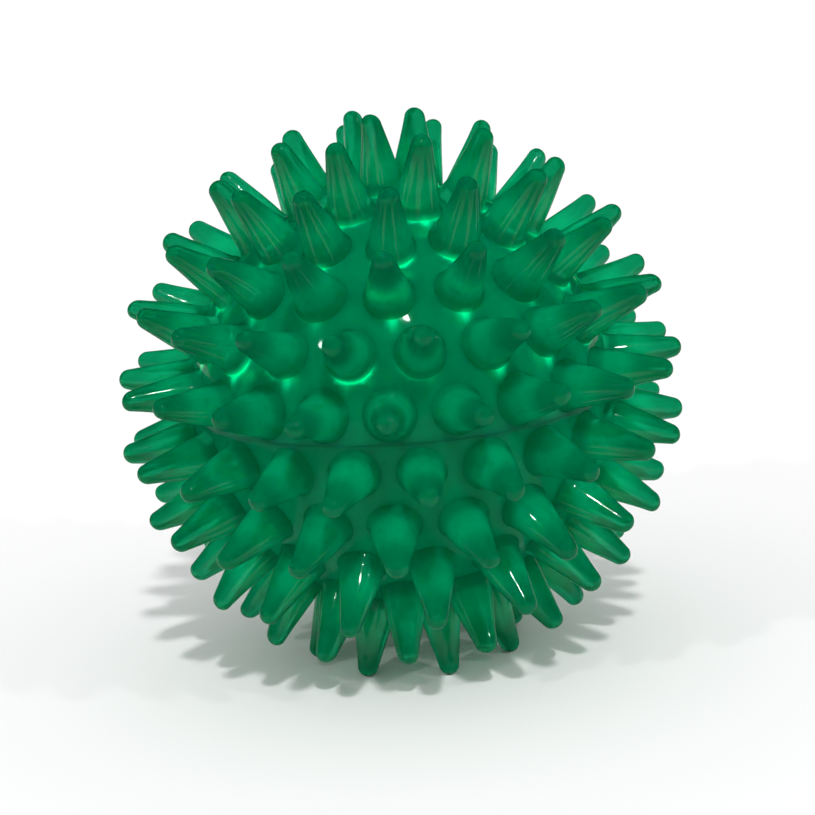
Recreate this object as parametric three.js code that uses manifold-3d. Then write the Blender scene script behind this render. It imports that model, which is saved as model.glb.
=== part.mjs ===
// Spiky massage ball: an air-filled ball of soft, translucent PVC. Two spiked half shells meet in a lap
// joint at the equator, and a rubber grommet with a pull-out plug at the lower pole lets the ball be pumped up.
//
// Millimetres, +Z up. The origin is the point on the supporting surface straight below the ball's centre: the
// ball stands on its lowest ring of spikes, and the valve looks down inside that ring.

import * as THREE from 'three';
import { mergeVertices } from 'three/addons/utils/BufferGeometryUtils.js';
import Module from 'manifold-3d';

const wasm = await Module();
wasm.setup();

// ---------------------------------------------------------------- driving dimensions

const overallDiameter = 90; // over the spike tips
const bodyDiameter = 66.4; // at the roots of the spikes
const wallThickness = 3;
const pieceGap = 0.3; // between two pieces that touch

const spikeRootDiameter = 7;
const spikeWaistDiameter = 5.3;
const spikeWaistShare = 0.45; // of the spike's height, up from its root
const spikeTipRadius = 1.6; // of the rounded end
const spikeTipShoulder = 35; // degrees up the rounded end, where its flank starts
const spikeSides = 8;

const ringPitch = 15; // degrees of latitude from one ring of spikes to the next
// Rings from the equator to the pole: how many spikes, and the longitude of the first one in degrees.
// Longitude 0 is on the -Y side and grows towards +X.
const upperRings = [
  { count: 21, turn: -3 },
  { count: 19, turn: 6 },
  { count: 16, turn: -1.5 },
  { count: 13, turn: 0 },
  { count: 8, turn: -26 },
  { count: 3, turn: -12 },
];
// The valve takes the place of the ring nearest the lower pole.
const lowerRings = [
  { count: 21, turn: 4 },
  { count: 19, turn: -4 },
  { count: 16, turn: 6 },
  { count: 13, turn: -4 },
  { count: 8, turn: 16 },
];

const tongueLength = 2.5; // of the upper half's lip inside the lower half
const valvePadDiameter = 14;
const valvePadRise = 0.4; // of the pad's flat face past the body's pole
const valveBossDepth = 7; // from the pad's face to the end of the boss inside the ball

const grommetFlangeDiameter = 10;
const grommetFlangeThickness = 2;
const grommetBodyDiameter = 6.4;
const grommetBeadDiameter = 8.4; // the lip that holds the grommet from inside
const grommetBeadThickness = 1.2;
const grommetBeadLead = 0.4; // the bead narrows by this towards its end, to go in through the hole
const grommetRecessDepth = 1.4; // for the plug's head
const grommetBoreDiameter = 3.2;

const plugHeadDiameter = 7;
const plugHeadThickness = 1.1;
const plugStemDiameter = 2.6;
const plugRibDiameter = 2.9;
const plugRibHeight = 0.8;
const plugRibPlaces = [0.4, 0.65]; // share of the plug's length, from its head
const plugLength = 7;
const plugEndShare = 0.6; // the stem's end, as a share of its diameter

// ---------------------------------------------------------------- values worked out from them

const outerRadius = overallDiameter / 2;
const bodyRadius = bodyDiameter / 2;
const cavityRadius = bodyRadius - wallThickness;
const spikeHeight = outerRadius - bodyRadius;
const tongueRadius = (bodyRadius + cavityRadius - pieceGap) / 2;
const padFaceRadius = bodyRadius + valvePadRise; // distance of the pad's face from the ball's centre

const standingLatitude = ringPitch * (lowerRings.length - 0.5);
const tipCentreRadius = outerRadius - spikeTipRadius;
const centreHeight = tipCentreRadius * Math.sin(THREE.MathUtils.degToRad(standingLatitude)) + spikeTipRadius;

// ---------------------------------------------------------------- fineness of the facets

const shellSegments = 24;
const shellArcSteps = 6;
const valveSegments = 24;
const mergeDistance = 1e-3; // corners closer than this are one
const cutOvershoot = 1; // a cutting tool runs past the face it cuts by this

// ---------------------------------------------------------------- materials

const softPvc = { color: 0x00794f, roughness: 0.25, metalness: 0 };
const valveRubber = { color: 0x0b5c3c, roughness: 0.55, metalness: 0 };
const plugPlastic = { color: 0x0f6a45, roughness: 0.45, metalness: 0 };

// ---------------------------------------------------------------- geometry helpers

function point(radius, height) {
  return new THREE.Vector2(radius, height);
}

// Points of an arc about the ball's centre, from one latitude to another.
function arc(radius, fromDegrees, toDegrees, steps) {
  const points = [];
  for (let i = 0; i <= steps; i += 1) {
    const latitude = THREE.MathUtils.degToRad(THREE.MathUtils.lerp(fromDegrees, toDegrees, i / steps));
    const across = radius * Math.cos(latitude);
    // The pole's cosine isn't exactly 0, and a profile has to end on the axis.
    points.push(point(across < mergeDistance ? 0 : across, radius * Math.sin(latitude)));
  }
  return points;
}

function latitudeAt(radius, height) {
  return THREE.MathUtils.radToDeg(Math.asin(height / radius));
}

// A profile of (radius, height) points turned about Z.
function turned(profile, segments) {
  return new THREE.LatheGeometry(profile, segments).rotateX(Math.PI / 2);
}

// A closed geometry as a solid. Shared corners are merged, and triangles that shrink to a line at the axis
// are dropped.
function toSolid(geometry) {
  const positions = new THREE.BufferGeometry();
  positions.setAttribute('position', geometry.getAttribute('position'));
  positions.setIndex(geometry.getIndex());
  const merged = mergeVertices(positions, mergeDistance);
  const corners = merged.getIndex().array;
  const kept = [];
  for (let i = 0; i < corners.length; i += 3) {
    const [a, b, c] = corners.slice(i, i + 3);
    if (a !== b && b !== c && c !== a) kept.push(a, b, c);
  }
  return new wasm.Manifold(new wasm.Mesh({
    numProp: 3,
    vertProperties: new Float32Array(merged.getAttribute('position').array),
    triVerts: new Uint32Array(kept),
  }));
}

function toGeometry(solid) {
  const mesh = solid.getMesh();
  const geometry = new THREE.BufferGeometry();
  geometry.setAttribute('position', new THREE.BufferAttribute(mesh.vertProperties, 3));
  geometry.setIndex(new THREE.BufferAttribute(mesh.triVerts, 1));
  geometry.computeVertexNormals();
  return geometry;
}

// An upright cylinder between two heights on the Z axis.
function upright(diameter, low, high) {
  const geometry = new THREE.CylinderGeometry(diameter / 2, diameter / 2, high - low, valveSegments);
  return geometry.rotateX(Math.PI / 2).translate(0, 0, (low + high) / 2);
}

function namedMesh(name, geometry, finish) {
  const mesh = new THREE.Mesh(geometry, new THREE.MeshStandardMaterial(finish));
  mesh.name = name;
  return mesh;
}

// ---------------------------------------------------------------- spikes

// Outward direction at a latitude and longitude in degrees.
function directionAt(latitude, longitude) {
  const up = THREE.MathUtils.degToRad(latitude);
  const round = THREE.MathUtils.degToRad(longitude);
  return new THREE.Vector3(
    Math.cos(up) * Math.sin(round),
    -Math.cos(up) * Math.cos(round),
    Math.sin(up),
  );
}

// One spike along +Y from the ball's centre: a tapering pin with a rounded end, rooted half-way into
// the wall.
function spikeGeometry() {
  const shoulder = THREE.MathUtils.degToRad(spikeTipShoulder);
  const tipRing = point(
    spikeTipRadius * Math.cos(shoulder),
    tipCentreRadius + spikeTipRadius * Math.sin(shoulder),
  );
  const profile = [
    point(0, bodyRadius - wallThickness / 2),
    point(spikeRootDiameter / 2, bodyRadius - wallThickness / 2),
    point(spikeWaistDiameter / 2, bodyRadius + spikeHeight * spikeWaistShare),
    tipRing,
    point(0, outerRadius),
  ];
  return new THREE.LatheGeometry(profile, spikeSides);
}

// Every spike of a half, as solids. side is 1 for the upper half and -1 for the lower one.
function spikeSolids(rings, side) {
  const along = new THREE.Vector3(0, 1, 0);
  const spikes = [];
  rings.forEach((ring, index) => {
    const latitude = side * ringPitch * (index + 0.5);
    for (let i = 0; i < ring.count; i += 1) {
      const direction = directionAt(latitude, ring.turn + (360 * i) / ring.count);
      const turn = new THREE.Quaternion().setFromUnitVectors(along, direction);
      spikes.push(toSolid(spikeGeometry().applyQuaternion(turn)));
    }
  });
  return spikes;
}

// ---------------------------------------------------------------- half shells

// The upper half ends in a thin tongue that slips inside the lower half.
function upperShellProfile() {
  const seam = pieceGap / 2;
  return [
    ...arc(cavityRadius, 90, 0, shellArcSteps),
    point(cavityRadius, -tongueLength),
    point(tongueRadius, -tongueLength),
    point(tongueRadius, seam),
    ...arc(bodyRadius, latitudeAt(bodyRadius, seam), 90, shellArcSteps),
  ];
}

// The lower half has a rebate for the tongue.
function lowerShellProfile() {
  const seam = pieceGap / 2;
  const rebateDepth = tongueLength + pieceGap;
  const rebateRadius = tongueRadius + pieceGap;
  return [
    ...arc(bodyRadius, -90, -latitudeAt(bodyRadius, seam), shellArcSteps),
    point(rebateRadius, -seam),
    point(rebateRadius, -rebateDepth),
    ...arc(cavityRadius, -latitudeAt(cavityRadius, rebateDepth), -90, shellArcSteps),
  ];
}

function upperHalfShell() {
  let shell = toSolid(turned(upperShellProfile(), shellSegments));
  for (const spike of spikeSolids(upperRings, 1)) shell = shell.add(spike);
  return toGeometry(shell);
}

function lowerHalfShell() {
  let shell = toSolid(turned(lowerShellProfile(), shellSegments));
  for (const spike of spikeSolids(lowerRings, -1)) shell = shell.add(spike);
  const face = -padFaceRadius;
  const bossEnd = face + valveBossDepth;
  const seatDiameter = grommetFlangeDiameter + 2 * pieceGap;
  const seatDepth = grommetFlangeThickness + pieceGap;
  const holeDiameter = grommetBodyDiameter + 2 * pieceGap;
  shell = shell.add(toSolid(upright(valvePadDiameter, face, bossEnd)));
  shell = shell.subtract(toSolid(upright(seatDiameter, face - cutOvershoot, face + seatDepth)));
  shell = shell.subtract(toSolid(upright(holeDiameter, face - cutOvershoot, bossEnd + cutOvershoot)));
  return toGeometry(shell);
}

// ---------------------------------------------------------------- valve, measured inwards from the pad's face

function valveGrommet() {
  const recessRadius = plugHeadDiameter / 2 + pieceGap;
  const beadStart = valveBossDepth + pieceGap;
  const beadEnd = beadStart + grommetBeadThickness;
  const profile = [
    point(recessRadius, 0),
    point(grommetFlangeDiameter / 2, 0),
    point(grommetFlangeDiameter / 2, grommetFlangeThickness),
    point(grommetBodyDiameter / 2, grommetFlangeThickness),
    point(grommetBodyDiameter / 2, beadStart),
    point(grommetBeadDiameter / 2, beadStart),
    point(grommetBeadDiameter / 2 - grommetBeadLead, beadEnd),
    point(grommetBoreDiameter / 2, beadEnd),
    point(grommetBoreDiameter / 2, grommetRecessDepth),
    point(recessRadius, grommetRecessDepth),
    point(recessRadius, 0),
  ];
  return turned(profile, valveSegments);
}

// A flat head that lies in the grommet's recess, and a stem with two sealing ribs and a lead-in taper.
function valvePlug() {
  const stem = plugStemDiameter / 2;
  const rib = plugRibDiameter / 2;
  const profile = [
    point(0, 0),
    point(plugHeadDiameter / 2, 0),
    point(plugHeadDiameter / 2, plugHeadThickness),
    point(stem, plugHeadThickness),
  ];
  for (const place of plugRibPlaces) {
    const ribMiddle = plugLength * place;
    profile.push(
      point(stem, ribMiddle - plugRibHeight / 2),
      point(rib, ribMiddle),
      point(stem, ribMiddle + plugRibHeight / 2),
    );
  }
  profile.push(
    point(stem, plugLength - plugRibHeight),
    point(stem * plugEndShare, plugLength),
    point(0, plugLength),
  );
  return turned(profile, valveSegments);
}

// ---------------------------------------------------------------- assembly

const valve = new THREE.Group();
valve.position.z = -padFaceRadius;
valve.add(
  namedMesh('valve_grommet', valveGrommet(), valveRubber),
  namedMesh('valve_plug', valvePlug(), plugPlastic),
);

const ball = new THREE.Group();
ball.position.z = centreHeight;
ball.add(
  namedMesh('upper_half_shell', upperHalfShell(), softPvc),
  namedMesh('lower_half_shell', lowerHalfShell(), softPvc),
  valve,
);

const massageBall = new THREE.Group();
massageBall.add(ball);

export default massageBall;
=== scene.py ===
"""Looks of a spiky massage ball: two spiked half shells of translucent soft PVC, a rubber valve and its plug.

Metres, +Z up. The origin is on the surface that the ball stands on, straight below its centre.
"""

import math
import random

import bmesh
import bpy
import numpy as np
from mathutils import Matrix, Quaternion, Vector


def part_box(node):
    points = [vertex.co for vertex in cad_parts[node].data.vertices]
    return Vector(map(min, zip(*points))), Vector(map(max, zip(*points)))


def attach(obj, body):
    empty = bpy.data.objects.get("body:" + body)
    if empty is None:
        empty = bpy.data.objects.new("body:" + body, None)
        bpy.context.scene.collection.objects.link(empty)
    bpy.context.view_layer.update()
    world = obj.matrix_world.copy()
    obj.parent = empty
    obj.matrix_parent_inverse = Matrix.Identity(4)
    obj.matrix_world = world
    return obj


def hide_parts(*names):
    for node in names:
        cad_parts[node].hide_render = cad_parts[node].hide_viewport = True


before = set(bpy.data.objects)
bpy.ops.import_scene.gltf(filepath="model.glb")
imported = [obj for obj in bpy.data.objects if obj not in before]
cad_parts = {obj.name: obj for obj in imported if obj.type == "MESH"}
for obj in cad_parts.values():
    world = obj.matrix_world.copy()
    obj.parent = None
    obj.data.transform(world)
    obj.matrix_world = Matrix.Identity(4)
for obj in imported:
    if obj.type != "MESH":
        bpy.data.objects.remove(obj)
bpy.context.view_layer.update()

# ---------------------------------------------------------------- dimensions, in metres

MM = 0.001
OUTER_RADIUS = 45.0 * MM  # over the spike tips
BODY_RADIUS = 33.2 * MM
WALL = 3.0 * MM
CAVITY_RADIUS = BODY_RADIUS - WALL
SPIKE_HEIGHT = OUTER_RADIUS - BODY_RADIUS
SPIKE_ROOT_RADIUS = 3.5 * MM
SPIKE_TIP_RADIUS = 1.6 * MM
SPIKE_TIP_SLOPE = math.radians(10)  # of the flank against the axis where the rounded tip runs into it
SPIKE_ROOT_SLOPE = math.radians(6)
SPIKE_FLARE = 0.35 * MM  # a small fillet where a spike leaves the body

SEAM_GAP = 0.01 * MM
TONGUE_LENGTH = 2.5 * MM

PAD_RADIUS = 7.0 * MM
BOSS_DEPTH = 7.0 * MM
EDGE_RADIUS = 0.25 * MM  # rounding of the moulded edges round the valve
VALVE_GAP = 0.3 * MM

FLANGE_RADIUS = 5.0 * MM
FLANGE_THICKNESS = 2.0 * MM
SLEEVE_RADIUS = 3.2 * MM
BEAD_RADIUS = 4.2 * MM
BEAD_THICKNESS = 1.2 * MM
BEAD_LEAD = 0.4 * MM
RECESS_DEPTH = 1.4 * MM
BORE_RADIUS = 1.6 * MM

PLUG_HEAD_RADIUS = 3.5 * MM
PLUG_HEAD_THICKNESS = 1.1 * MM
PLUG_STEM_RADIUS = 1.3 * MM
PLUG_RIB_RADIUS = 1.45 * MM
PLUG_RIB_HEIGHT = 0.8 * MM
PLUG_RIB_PLACES = (0.4, 0.65)  # share of the plug's length, from its head
PLUG_LENGTH = 7.0 * MM
PLUG_END_RADIUS = 0.78 * MM

RING_PITCH = 15.0  # degrees of latitude
# From the equator to the pole: spikes in the ring, longitude of the first one in degrees.
UPPER_RINGS = [(21, -3.0), (19, 6.0), (16, -1.5), (13, 0.0), (8, -26.0), (3, -12.0)]
LOWER_RINGS = [(21, 4.0), (19, -4.0), (16, 6.0), (13, -4.0), (8, 16.0)]
STANDING_RING = len(LOWER_RINGS) - 1  # the ball rests on these spikes, so they stay true

SPIKE_SIDES = 28
SPIKE_TAPER_STEPS = 12
SPIKE_TIP_STEPS = 7
BODY_SEGMENTS = 288
BODY_ARC_STEPS = 66
VALVE_SEGMENTS = 64
FLOOR_SEGMENTS = 64
SHARP_ANGLE = math.radians(38)

SHAPE_SEED = 5  # one more for the upper half, one less for the lower
GLOW_SEED = 11  # likewise

PAD_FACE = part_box("valve_grommet")[0].z  # the valve pad's face looks down at this height
CENTRE = Vector((0, 0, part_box("upper_half_shell")[0].z + TONGUE_LENGTH))


# ---------------------------------------------------------------- mesh helpers

def arc(radius, from_degrees, to_degrees, steps):
    """Points (radius, height) of an arc about the ball's centre, from one latitude to another."""
    points = []
    for i in range(steps + 1):
        latitude = math.radians(from_degrees + (to_degrees - from_degrees) * i / steps)
        points.append((max(0.0, radius * math.cos(latitude)), radius * math.sin(latitude)))
    return points


def latitude_at(radius, height):
    return math.degrees(math.asin(height / radius))


def lathe(name, profile, segments):
    """A closed mesh: the profile of (radius, height) points turned about Z. It starts and ends on the axis,
    or closes on itself."""
    on_axis = 1e-9
    mesh = bmesh.new()
    rings = []
    for radius, height in profile:
        if radius < on_axis:
            rings.append([mesh.verts.new((0, 0, height))] * segments)
            continue
        rings.append([
            mesh.verts.new((
                radius * math.cos(2 * math.pi * i / segments),
                radius * math.sin(2 * math.pi * i / segments),
                height,
            ))
            for i in range(segments)
        ])
    closes = profile[0][0] > on_axis
    next_rings = rings[1:] + rings[:1] if closes else rings[1:]
    for low, high in zip(rings, next_rings):
        for i in range(segments):
            j = (i + 1) % segments
            corners = []
            for vert in (low[i], low[j], high[j], high[i]):
                if vert not in corners:
                    corners.append(vert)
            if len(corners) > 2:
                mesh.faces.new(corners)
    bmesh.ops.recalc_face_normals(mesh, faces=mesh.faces)
    data = bpy.data.meshes.new(name)
    mesh.to_mesh(data)
    mesh.free()
    return add_object(name, data)


def add_object(name, data):
    made = bpy.data.objects.new(name, data)
    bpy.context.scene.collection.objects.link(made)
    return made


def combine(target, tool, operation):
    """Joins tool to target or cuts it out of it, and removes tool."""
    modifier = target.modifiers.new("combine", "BOOLEAN")
    modifier.operation = operation
    modifier.solver = "MANIFOLD"
    modifier.object = tool
    bpy.context.view_layer.update()
    evaluated = target.evaluated_get(bpy.context.evaluated_depsgraph_get())
    result = bpy.data.meshes.new_from_object(evaluated)
    target.modifiers.clear()
    target.data = result
    bpy.data.objects.remove(tool)


def finish_surface(piece, material):
    """One material, smooth apart from the edges that are sharper than SHARP_ANGLE."""
    piece.data.materials.clear()
    piece.data.materials.append(material)
    piece.data.shade_smooth()
    piece.data.set_sharp_from_angle(angle=SHARP_ANGLE)


# ---------------------------------------------------------------- spikes

def direction_at(latitude, longitude):
    """Outward direction. Longitude 0 is on the -Y side and grows towards +X."""
    up, turn = math.radians(latitude), math.radians(longitude)
    return Vector((math.cos(up) * math.sin(turn), -math.cos(up) * math.cos(turn), math.sin(up)))


def smooth_curve(start, end, start_slope, end_slope, t):
    """A value that runs from start to end while t runs from 0 to 1, with a given slope at each end."""
    value = start * (2 * t**3 - 3 * t**2 + 1) + end * (3 * t**2 - 2 * t**3)
    value += start_slope * (t**3 - 2 * t**2 + t) + end_slope * (t**3 - t**2)
    return value


def spike_profile():
    """(radius, height above the body) from the root, half-way into the wall, to the tip. The flank is one
    smooth curve that leaves the root nearly upright and runs into the rounded tip without a crease."""
    cap_radius = SPIKE_TIP_RADIUS * math.cos(SPIKE_TIP_SLOPE)
    cap_centre = SPIKE_HEIGHT - SPIKE_TIP_RADIUS
    cap_start = cap_centre + SPIKE_TIP_RADIUS * math.sin(SPIKE_TIP_SLOPE)
    root_slope = -math.tan(SPIKE_ROOT_SLOPE) * cap_start
    cap_slope = -math.tan(SPIKE_TIP_SLOPE) * cap_start
    points = [(0.0, -WALL / 2), (SPIKE_ROOT_RADIUS + SPIKE_FLARE, -WALL / 2)]
    for i in range(SPIKE_TAPER_STEPS + 1):
        t = i / SPIKE_TAPER_STEPS
        radius = smooth_curve(SPIKE_ROOT_RADIUS, cap_radius, root_slope, cap_slope, t)
        height = cap_start * t
        points.append((radius + SPIKE_FLARE * math.exp(-height / SPIKE_FLARE), height))
    for i in range(1, SPIKE_TIP_STEPS + 1):
        angle = SPIKE_TIP_SLOPE + (math.pi / 2 - SPIKE_TIP_SLOPE) * i / SPIKE_TIP_STEPS
        radius = 0.0 if i == SPIKE_TIP_STEPS else SPIKE_TIP_RADIUS * math.cos(angle)
        points.append((radius, cap_centre + SPIKE_TIP_RADIUS * math.sin(angle)))
    return points


def spike_axes(rings, side):
    """(outward direction, whether the ball stands on it) of every spike of a half."""
    axes = []
    for index, (count, turn) in enumerate(rings):
        latitude = side * RING_PITCH * (index + 0.5)
        for i in range(count):
            standing = side < 0 and index == STANDING_RING
            axes.append((direction_at(latitude, turn + 360 * i / count), standing))
    return axes


def placed_spike(base, direction, standing, draw):
    """The points of one spike on the ball, from those of a true upright one. Each differs a little, because
    soft plastic is never quite true, apart from those that the ball stands on."""
    lean_limit = math.radians(3)
    bend_limit = 0.8 * MM
    length_spread = 0.05
    girth_spread = 0.04
    freedom = 0.0 if standing else 1.0
    length = 1 - length_spread * freedom * draw.random()
    girth = 1 + girth_spread * freedom * draw.uniform(-1, 1)
    oval = 1 + girth_spread * freedom * draw.uniform(-1, 1)
    spin = draw.uniform(0, 2 * math.pi)
    lean = Quaternion((math.cos(spin), math.sin(spin), 0), lean_limit * freedom * draw.random())
    bend = Vector((draw.uniform(-1, 1), draw.uniform(-1, 1), 0)) * bend_limit * freedom
    turn = Vector((0, 0, 1)).rotation_difference(direction)
    points = []
    for x, y, z in base:
        rise = max(0.0, z / SPIKE_HEIGHT)
        local = Vector((x * girth * oval, y * girth / oval, z * length if z > 0 else z))
        local += bend * rise * rise
        local = lean @ local
        local.z += BODY_RADIUS
        points.append(CENTRE + turn @ local)
    return points


def spikes_object(name, axes, seed):
    """All spikes of a half as one mesh."""
    draw = random.Random(seed)
    template = lathe("spike", spike_profile(), SPIKE_SIDES)
    base = np.array([v.co for v in template.data.vertices])
    faces = [tuple(p.vertices) for p in template.data.polygons]
    bpy.data.objects.remove(template)
    points, polygons = [], []
    for direction, standing in axes:
        start = len(points)
        points += placed_spike(base, direction, standing, draw)
        polygons += [tuple(start + i for i in face) for face in faces]
    data = bpy.data.meshes.new(name)
    data.from_pydata(points, [], polygons)
    data.update()
    return add_object(name, data)


# ---------------------------------------------------------------- half shells

def upper_profile():
    """Wall of the upper half, with the tongue that slips inside the lower half."""
    tongue_radius = (BODY_RADIUS + CAVITY_RADIUS) / 2
    seam = SEAM_GAP / 2
    return [
        *arc(CAVITY_RADIUS, 90, 0, BODY_ARC_STEPS // 2),
        (CAVITY_RADIUS, -TONGUE_LENGTH),
        (tongue_radius, -TONGUE_LENGTH),
        (tongue_radius, seam),
        *arc(BODY_RADIUS, latitude_at(BODY_RADIUS, seam), 90, BODY_ARC_STEPS),
    ]


def lower_profile():
    """Wall of the lower half, with the rebate for the tongue."""
    seam = SEAM_GAP / 2
    rebate_radius = (BODY_RADIUS + CAVITY_RADIUS) / 2 + SEAM_GAP
    rebate_depth = TONGUE_LENGTH + SEAM_GAP
    return [
        *arc(BODY_RADIUS, -90, -latitude_at(BODY_RADIUS, seam), BODY_ARC_STEPS),
        (rebate_radius, -seam),
        (rebate_radius, -rebate_depth),
        *arc(CAVITY_RADIUS, -latitude_at(CAVITY_RADIUS, rebate_depth), -90, BODY_ARC_STEPS // 2),
    ]


def spiked_half(name, profile, rings, side, seed):
    shell = lathe(name, profile, BODY_SEGMENTS)
    shell.data.transform(Matrix.Translation(CENTRE))
    combine(shell, spikes_object("spikes", spike_axes(rings, side), seed), "UNION")
    return shell


def rounded(corners, closes=False):
    """A profile with its corners rounded, apart from the two ends of one that starts and ends on the axis."""
    steps = 4
    most_of_side = 0.45  # share of a side that one rounding may take, so that two of them don't meet
    profile = []
    for i, corner in enumerate(corners):
        if not closes and i in (0, len(corners) - 1):
            profile.append(corner)
            continue
        here = Vector(corner)
        before = Vector(corners[i - 1]) - here
        after = Vector(corners[(i + 1) % len(corners)]) - here
        back = min(EDGE_RADIUS, most_of_side * before.length)
        ahead = min(EDGE_RADIUS, most_of_side * after.length)
        first = here + before.normalized() * back
        last = here + after.normalized() * ahead
        for step in range(steps + 1):
            t = step / steps
            on_curve = first * (1 - t) ** 2 + here * 2 * t * (1 - t) + last * t**2
            profile.append((on_curve.x, on_curve.y))
    return profile


def pin(name, radius, low, high):
    """An upright pin with rounded edges, between two heights."""
    return lathe(name, rounded([(0.0, low), (radius, low), (radius, high), (0.0, high)]), VALVE_SEGMENTS)


def cut_valve_seat(shell):
    """The flat pad round the valve, the boss behind it and the stepped hole for the grommet."""
    overshoot = 1 * MM  # a cut runs past the faces that it opens
    start = PAD_FACE - overshoot
    seat_end = PAD_FACE + FLANGE_THICKNESS + VALVE_GAP
    boss_end = PAD_FACE + BOSS_DEPTH
    hole_end = boss_end + overshoot
    pad = pin("pad", PAD_RADIUS, PAD_FACE, boss_end)
    seat = pin("seat", FLANGE_RADIUS + VALVE_GAP, start, seat_end)
    hole = pin("hole", SLEEVE_RADIUS + VALVE_GAP, start, hole_end)
    combine(shell, pad, "UNION")
    combine(shell, seat, "DIFFERENCE")
    combine(shell, hole, "DIFFERENCE")


def grommet_object():
    """A rubber sleeve: flange and recess outside, retaining bead inside the ball."""
    recess_radius = PLUG_HEAD_RADIUS + VALVE_GAP
    bead_start = BOSS_DEPTH + VALVE_GAP
    bead_end = bead_start + BEAD_THICKNESS
    corners = [
        (recess_radius, 0.0),
        (FLANGE_RADIUS, 0.0),
        (FLANGE_RADIUS, FLANGE_THICKNESS),
        (SLEEVE_RADIUS, FLANGE_THICKNESS),
        (SLEEVE_RADIUS, bead_start),
        (BEAD_RADIUS, bead_start),
        (BEAD_RADIUS - BEAD_LEAD, bead_end),
        (BORE_RADIUS, bead_end),
        (BORE_RADIUS, RECESS_DEPTH),
        (recess_radius, RECESS_DEPTH),
    ]
    return lathe("grommet", rounded(corners, closes=True), VALVE_SEGMENTS)


def plug_object():
    """A flat head, and a stem with two sealing ribs and a narrower end."""
    corners = [
        (0.0, 0.0),
        (PLUG_HEAD_RADIUS, 0.0),
        (PLUG_HEAD_RADIUS, PLUG_HEAD_THICKNESS),
        (PLUG_STEM_RADIUS, PLUG_HEAD_THICKNESS),
    ]
    for place in PLUG_RIB_PLACES:
        middle = PLUG_LENGTH * place
        corners += [
            (PLUG_STEM_RADIUS, middle - PLUG_RIB_HEIGHT / 2),
            (PLUG_RIB_RADIUS, middle),
            (PLUG_STEM_RADIUS, middle + PLUG_RIB_HEIGHT / 2),
        ]
    corners += [
        (PLUG_STEM_RADIUS, PLUG_LENGTH - PLUG_RIB_HEIGHT),
        (PLUG_END_RADIUS, PLUG_LENGTH),
        (0.0, PLUG_LENGTH),
    ]
    return lathe("plug", rounded(corners), VALVE_SEGMENTS)


# ---------------------------------------------------------------- materials

class Nodes:
    """Short calls for building one material's node tree."""

    def __init__(self, name):
        self.material = bpy.data.materials.new(name)
        self.material.use_nodes = True
        self.tree = self.material.node_tree
        self.shader = self.tree.nodes["Principled BSDF"]

    def add(self, kind, **settings):
        node = self.tree.nodes.new(kind)
        for key, value in settings.items():
            setattr(node, key, value)
        return node

    def link(self, source, target):
        self.tree.links.new(source, target)

    def position(self):
        return self.add("ShaderNodeTexCoord").outputs["Object"]

    def noise(self, scale, detail):
        """Noise over the object's own space, from 0 to 1. scale is in features per metre."""
        texture = self.add("ShaderNodeTexNoise")
        texture.inputs["Scale"].default_value = scale
        texture.inputs["Detail"].default_value = detail
        self.link(self.position(), texture.inputs["Vector"])
        return texture.outputs["Fac"]

    def spread(self, value, low, high, to_low=0.0, to_high=1.0):
        """value from low..high mapped smoothly to to_low..to_high, and held at the ends."""
        ranged = self.add("ShaderNodeMapRange", interpolation_type="SMOOTHSTEP")
        self.link(value, ranged.inputs["Value"])
        ranged.inputs["From Min"].default_value = low
        ranged.inputs["From Max"].default_value = high
        ranged.inputs["To Min"].default_value = to_low
        ranged.inputs["To Max"].default_value = to_high
        return ranged.outputs["Result"]

    def blend(self, factor, first, second):
        """A colour between two colours, each a socket or a plain (r, g, b)."""
        mix = self.add("ShaderNodeMix", data_type="RGBA")
        self.link(factor, mix.inputs["Factor"])
        for socket, colour in ((mix.inputs["A"], first), (mix.inputs["B"], second)):
            if isinstance(colour, tuple):
                socket.default_value = (*colour, 1)
            else:
                self.link(colour, socket)
        return mix.outputs["Result"]

    def bump(self, height, distance, strength):
        bump = self.add("ShaderNodeBump")
        bump.inputs["Distance"].default_value = distance
        bump.inputs["Strength"].default_value = strength
        self.link(height, bump.inputs["Height"])
        self.link(bump.outputs["Normal"], self.shader.inputs["Normal"])

    def from_centre(self):
        """Distance from the ball's centre, in metres."""
        offset = self.add("ShaderNodeVectorMath", operation="SUBTRACT")
        self.link(self.position(), offset.inputs[0])
        offset.inputs[1].default_value = CENTRE
        length = self.add("ShaderNodeVectorMath", operation="LENGTH")
        self.link(offset.outputs["Vector"], length.inputs[0])
        return length.outputs["Value"]

    def set(self, **values):
        for key, value in values.items():
            self.shader.inputs[key.replace("_", " ")].default_value = value


def pvc_colour(nodes, rise, lit, glow):
    """Lighter round the spikes' roots, darker towards their tips, clouded, and bright where lit is high. The
    lighter roots are painted light against the shade round them, the darker tips are painted shade against
    the light that thin tips catch, and the bright part is the painted glow.
    """
    wall = (0.0, 0.36, 0.155)
    # Painted light: the roots are lighter to offset the shade round them.
    root = (0.0, 0.52, 0.235)
    # Painted shade: the tips are darker to offset the light that thin tips catch.
    tip = (0.0, 0.24, 0.11)
    tip_end = (0.0, 0.18, 0.083)
    cloud = (0.0, 0.28, 0.11)
    most_cloud = 0.35
    cloud_detail = 4
    colour = wall
    for shade, low, high in ((root, 0.01, 0.12), (tip, 0.3, 0.85), (tip_end, 0.8, 1.0)):
        colour = nodes.blend(nodes.spread(rise, low, high), colour, shade)
    for scale, low, high in ((160, 0.4, 0.7), (650, 0.5, 0.75)):
        clouds = nodes.spread(nodes.noise(scale, cloud_detail), low, high, 0.0, most_cloud)
        colour = nodes.blend(clouds, colour, cloud)
    return nodes.blend(lit, colour, glow)


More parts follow.
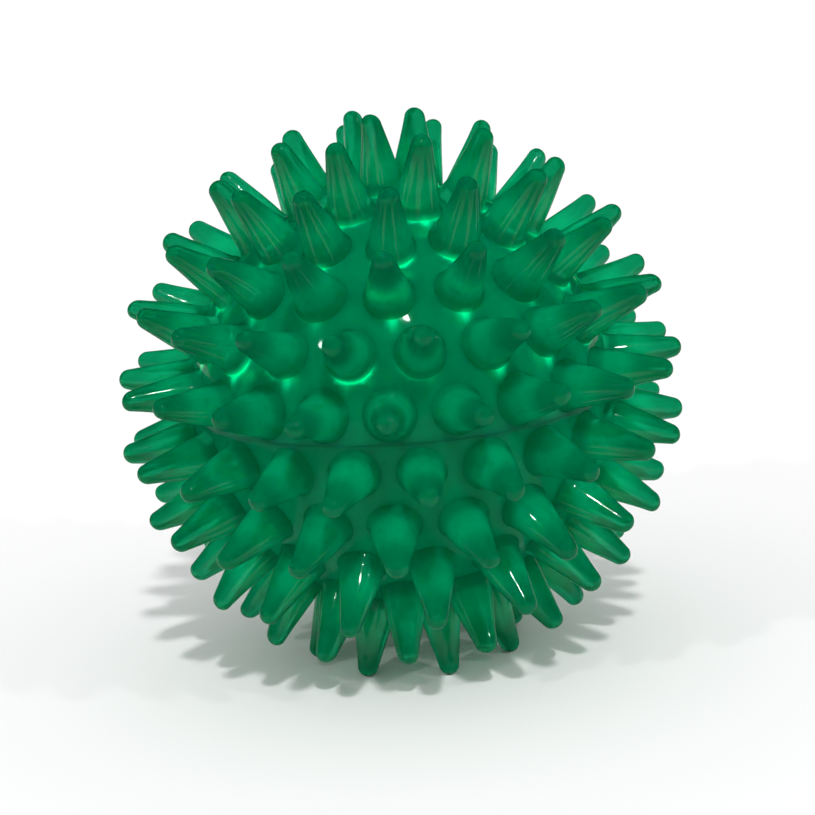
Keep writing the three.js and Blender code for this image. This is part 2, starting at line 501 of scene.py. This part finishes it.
def pvc_gloss(nodes, rise):
    """Little on the wall, most along a spike's flank, less again at its tip."""
    wall_gloss = 0.12
    flank_gloss = 0.5
    tip_share = 0.35
    gloss = nodes.add("ShaderNodeMath", operation="MULTIPLY")
    nodes.link(nodes.spread(rise, 0.0, 0.1, wall_gloss, flank_gloss), gloss.inputs[0])
    nodes.link(nodes.spread(rise, 0.75, 0.95, 1.0, tip_share), gloss.inputs[1])
    return gloss.outputs["Value"]


def let_light_through(nodes, lit):
    """Lets part of the light pass the surface: half of it on plain plastic, hardly any where lit is high."""
    tint = (0.10, 0.70, 0.46)
    blur = 0.2
    bending = 1.3  # index of refraction; real plastic's is about 1.5
    plain_share = 0.5
    lit_share = 0.05
    refraction = nodes.add("ShaderNodeBsdfRefraction")
    refraction.inputs["Color"].default_value = (*tint, 1)
    refraction.inputs["Roughness"].default_value = blur
    refraction.inputs["IOR"].default_value = bending
    mix = nodes.add("ShaderNodeMixShader")
    nodes.link(nodes.spread(lit, 0.0, 0.8, plain_share, lit_share), mix.inputs["Fac"])
    nodes.link(nodes.shader.outputs["BSDF"], mix.inputs[1])
    nodes.link(refraction.outputs["BSDF"], mix.inputs[2])
    nodes.link(mix.outputs["Shader"], nodes.tree.nodes["Material Output"].inputs["Surface"])


def translucent_pvc():
    """Deep green, glossy, cloudy PVC: part of the light is scattered inside it, and part goes through. Its
    colour also carries painted shading along the spikes and a painted glow under the upper spikes, which is
    emitted too.
    """
    # Painted glow: the colour and emission of the light that would come out under the upper spikes.
    glow = (0.0, 1.0, 0.36)
    glow_strength = 0.4
    lit_scatter = 0.2
    least_roughness, most_roughness = 0.03, 0.07
    roughness_noise = (300, 3)
    ripple_noise = (450, 1)
    ripple_height = 0.1 * MM
    ripple_strength = 0.3
    nodes = Nodes("translucent_pvc")
    rise = nodes.spread(nodes.from_centre(), BODY_RADIUS, OUTER_RADIUS)  # 0 on the wall, 1 at the tips
    lit = nodes.add("ShaderNodeAttribute", attribute_name="glow").outputs["Fac"]
    roughness = nodes.spread(nodes.noise(*roughness_noise), 0.3, 0.7, least_roughness, most_roughness)
    for name, value in (
        ("Base Color", pvc_colour(nodes, rise, lit, glow)),
        ("Roughness", roughness),
        ("Specular IOR Level", pvc_gloss(nodes, rise)),
        ("Subsurface Weight", nodes.spread(lit, 0.0, 0.8, 1.0, lit_scatter)),
        # Painted glow: emission where the stored glow is high.
        ("Emission Strength", nodes.spread(lit, 0.1, 1.0, 0.0, glow_strength)),
    ):
        nodes.link(value, nodes.shader.inputs[name])
    nodes.set(
        IOR=1.5, Specular_Tint=(0.75, 1.0, 0.9, 1), Emission_Color=(*glow, 1),
        Subsurface_Radius=(0.15, 1.0, 0.6), Subsurface_Scale=6 * MM,
    )
    nodes.bump(nodes.noise(*ripple_noise), ripple_height, ripple_strength)
    let_light_through(nodes, lit)
    return nodes.material


def satin(name, dark, pale, patches, roughness, wear, grain, grain_height, grain_strength):
    """A satin surface with faint paler patches, uneven polish and a fine grain. patches, wear and grain are
    each the (scale, detail) of a noise, and roughness is its (least, most)."""
    gloss_level = 0.3
    nodes = Nodes(name)
    paler = nodes.spread(nodes.noise(*patches), 0.35, 0.7)
    nodes.link(nodes.blend(paler, dark, pale), nodes.shader.inputs["Base Color"])
    nodes.link(nodes.spread(nodes.noise(*wear), 0.3, 0.7, *roughness), nodes.shader.inputs["Roughness"])
    nodes.bump(nodes.noise(*grain), grain_height, grain_strength)
    nodes.set(Specular_IOR_Level=gloss_level)
    return nodes.material


def valve_rubber():
    return satin(
        "valve_rubber", dark=(0.0, 0.12, 0.052), pale=(0.002, 0.19, 0.085), patches=(700, 4),
        roughness=(0.42, 0.62), wear=(1500, 3), grain=(6000, 3), grain_height=0.03 * MM, grain_strength=0.5,
    )


def plug_plastic():
    return satin(
        "plug_plastic", dark=(0.0, 0.19, 0.082), pale=(0.002, 0.27, 0.12), patches=(500, 3),
        roughness=(0.28, 0.5), wear=(900, 3), grain=(4000, 2), grain_height=0.02 * MM, grain_strength=0.4,
    )


# ---------------------------------------------------------------- light caught under the spikes

def spike_glow(points, direction, strength, sideways, edge_strength, edge_middle):
    """How much one spike lights points about the ball's centre: a spot on the wall below it, and a thin
    crescent along the lower edge of its root. sideways is in root radii, edge_middle in radians."""
    spot_reach = 1.8 * MM
    spot_width = 1.3 * MM
    narrowest = 0.05  # share of the spot's width that is left far below the spike
    crescent_width = 0.45 * MM
    crescent_reach = 0.9  # radians
    axis = np.array(direction)
    down = np.array((0, 0, -1.0)) + axis * axis[2]
    down /= max(np.linalg.norm(down), 1e-9)
    along_down = points @ down
    along_across = points @ np.cross(axis, down)
    outside = points @ axis > 0
    beyond = along_down - SPIKE_ROOT_RADIUS
    width = spot_width * np.clip(1 - beyond / (2 * spot_reach), narrowest, 1)
    aside = along_across - sideways * SPIKE_ROOT_RADIUS
    spot = np.exp(-((aside / width) ** 2) - (beyond / spot_reach) ** 2)
    from_edge = np.hypot(along_down, along_across) - SPIKE_ROOT_RADIUS - SPIKE_FLARE
    turn = np.arctan2(along_across, along_down) - edge_middle
    crescent = np.exp(-((from_edge / crescent_width) ** 2) - (turn / crescent_reach) ** 4)
    return np.maximum(strength * spot, edge_strength * crescent) * outside


def add_glow(shell, axes, seed):
    """Marks where light that enters a spike from above would come out again. This is a stored value, which
    the plastic's colour and emission read; the light itself isn't traced."""
    skin = 0.5 * MM
    lowest_latitude = 12
    draw = random.Random(seed)
    points = np.array([v.co for v in shell.data.vertices]) - np.array(CENTRE)
    glow = np.zeros(len(points))
    near_body = np.exp(-np.maximum(0, np.linalg.norm(points, axis=1) - BODY_RADIUS) / skin)
    for direction, _ in axes:
        strength = draw.uniform(0.2, 1.0)
        sideways = draw.uniform(-0.35, 0.35)
        edge_strength = draw.uniform(0.0, 1.0)
        edge_middle = draw.uniform(-0.6, 0.6)
        if math.degrees(math.asin(direction.z)) < lowest_latitude:
            continue
        lit = spike_glow(points, direction, strength, sideways, edge_strength, edge_middle)
        glow = np.maximum(glow, lit * near_body)
    attribute = shell.data.attributes.new("glow", "FLOAT", "POINT")
    attribute.data.foreach_set("value", glow.astype(np.float32))


# ---------------------------------------------------------------- the stage

def make_floor():
    """A plain pale floor, wide enough that no view looks past it."""
    radius = 30.0
    thickness = 0.02
    profile = [(0.0, -thickness), (radius, -thickness), (radius, 0.0), (0.0, 0.0)]
    floor = lathe("floor", profile, FLOOR_SEGMENTS)
    nodes = Nodes("floor")
    nodes.set(Base_Color=(0.93, 0.93, 0.93, 1), Roughness=0.9, Specular_IOR_Level=0.0)
    floor.data.materials.append(nodes.material)


def add_sun(name, strength, spread_degrees, azimuth, elevation):
    """Even light from one direction, the same all over the floor. Azimuth 0 is on the camera's side."""
    light = bpy.data.lights.new(name, "SUN")
    light.energy = strength
    light.angle = math.radians(spread_degrees)
    made = add_object(name, light)
    made.rotation_mode = "QUATERNION"
    made.rotation_quaternion = direction_at(elevation, azimuth).to_track_quat("Z", "Y")


def make_surroundings():
    """Even white light from all round. The plastic doesn't mirror it, only the lamps and the floor."""
    brightness = 0.66
    world = bpy.data.worlds.new("studio")
    bpy.context.scene.world = world
    world.use_nodes = True
    background = world.node_tree.nodes["Background"]
    background.inputs["Color"].default_value = (1, 1, 1, 1)
    background.inputs["Strength"].default_value = brightness
    world.cycles_visibility.glossy = False


def make_lights():
    add_sun("key", strength=1.4, spread_degrees=3.5, azimuth=8, elevation=52)
    add_sun("left", strength=0.35, spread_degrees=2, azimuth=-50, elevation=35)
    add_sun("right", strength=0.35, spread_degrees=2, azimuth=60, elevation=30)


def make_camera():
    """Looks a little down on the ball from the -Y side, and leans to its right."""
    distance = 7 * (OUTER_RADIUS - SPIKE_TIP_RADIUS)
    elevation = 13.4  # degrees
    roll = -3.9  # degrees
    aim_right, aim_down = 1.0 * MM, 2.4 * MM
    camera = add_object("camera", bpy.data.cameras.new("camera"))
    camera.data.lens = 84.5
    camera.data.sensor_width = 36
    camera.data.clip_start = 0.01
    back = direction_at(elevation, 0)
    look = (-back).to_track_quat("-Z", "Y") @ Quaternion((0, 0, 1), math.radians(roll))
    camera.rotation_mode = "QUATERNION"
    camera.rotation_quaternion = look
    camera.location = CENTRE + back * distance + look @ Vector((aim_right, -aim_down, 0))
    bpy.context.scene.camera = camera


# ---------------------------------------------------------------- assembly

def hand_in(piece, material, body, node):
    """Finishes a piece that moves with a body and takes the place of a node."""
    finish_surface(piece, material)
    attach(piece, body)
    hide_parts(node)


def make_shells():
    pvc = translucent_pvc()
    halves = (
        ("upper_half", "upper_half_shell", upper_profile(), UPPER_RINGS, 1),
        ("lower_half", "lower_half_shell", lower_profile(), LOWER_RINGS, -1),
    )
    for name, node, profile, rings, side in halves:
        shell = spiked_half(name, profile, rings, side, SHAPE_SEED + side)
        if side < 0:
            cut_valve_seat(shell)
        add_glow(shell, spike_axes(rings, side), GLOW_SEED + side)
        hand_in(shell, pvc, "ball", node)


def make_valve():
    for piece, material, body, node, slot in (
        (grommet_object(), valve_rubber(), "ball", "valve_grommet", "grommet"),
        (plug_object(), plug_plastic(), "plug", "valve_plug", "plug"),
    ):
        piece.data.transform(Matrix.Translation((0, 0, PAD_FACE)))
        hand_in(piece, material, body, node)


make_shells()
make_valve()
make_floor()
make_surroundings()
make_lights()
make_camera()
bpy.context.scene.view_settings.view_transform = "Standard"
